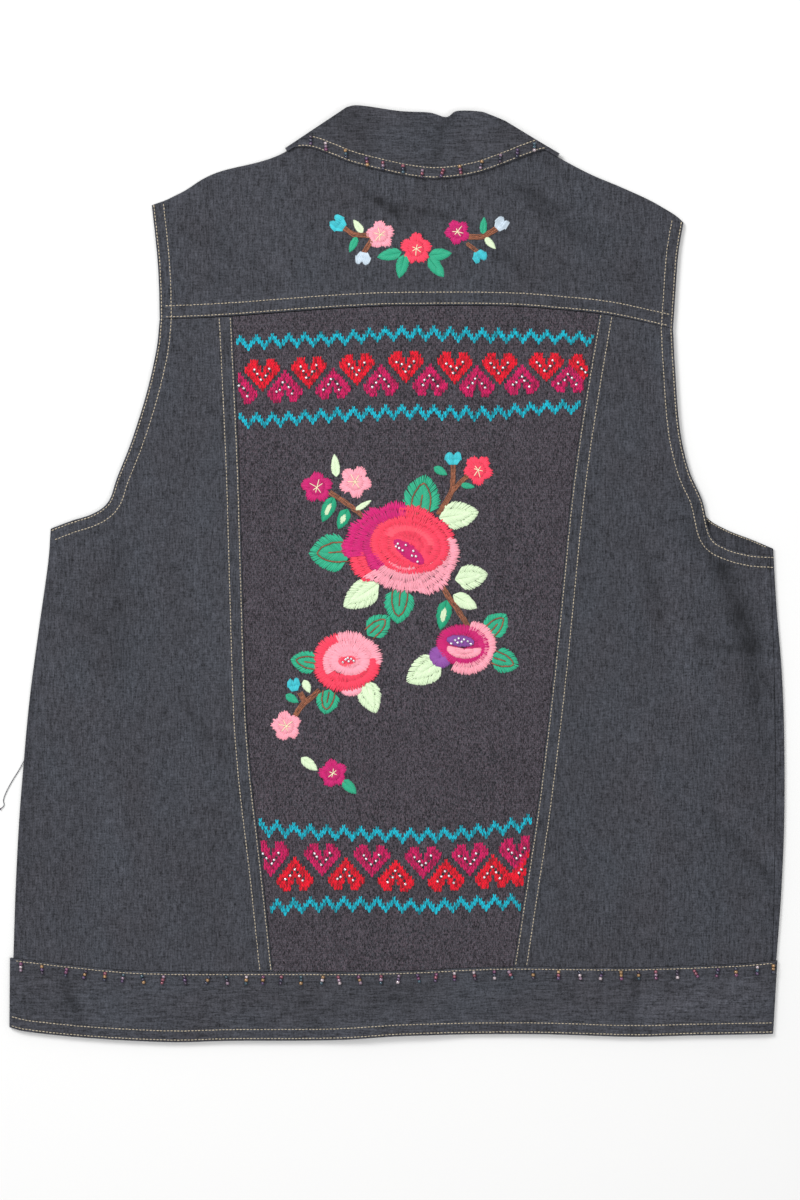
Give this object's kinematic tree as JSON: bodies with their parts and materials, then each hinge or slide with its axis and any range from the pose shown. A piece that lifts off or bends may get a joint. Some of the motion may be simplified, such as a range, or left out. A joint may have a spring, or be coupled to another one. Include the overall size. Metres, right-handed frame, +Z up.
{
  "type": "embroidered denim vest laid flat",
  "caption": "Sleeveless denim vest with a collar, back yoke, knit centre back panel and waistband, laid flat face down with its back up.",
  "frame": {"origin": "centre of the garment's outline, on the surface that it lies on", "axes": "+Z up, out of the back of the vest; +Y towards the collar; +X towards the wearer's right side, because the vest lies face down"},
  "size_m": [0.582, 0.7021, 0.0091],
  "materials": {
    "denim": "washed black denim, matte, with a fine upright grain and cream twin-needle topstitching",
    "knit": "charcoal heather knit, matte, with satin-stitched flowers and knit-stitched bands of zigzags and hearts",
    "embroidery": "glossy stranded embroidery thread in pinks, reds, greens and turquoise",
    "topstitch": "cream cotton topstitching thread",
    "beads": "small glass seed beads in pink, silver, amber, teal and dark grey"
  },
  "bodies": {
    "root": {"back_yoke": "denim", "back_centre_panel": "knit", "back_side_left": "denim", "back_side_right": "denim", "front_left": "denim", "front_right": "denim", "waistband": "denim", "collar_leaf": "denim", "collar_stand": "denim"}
  },
  "joints": []
}
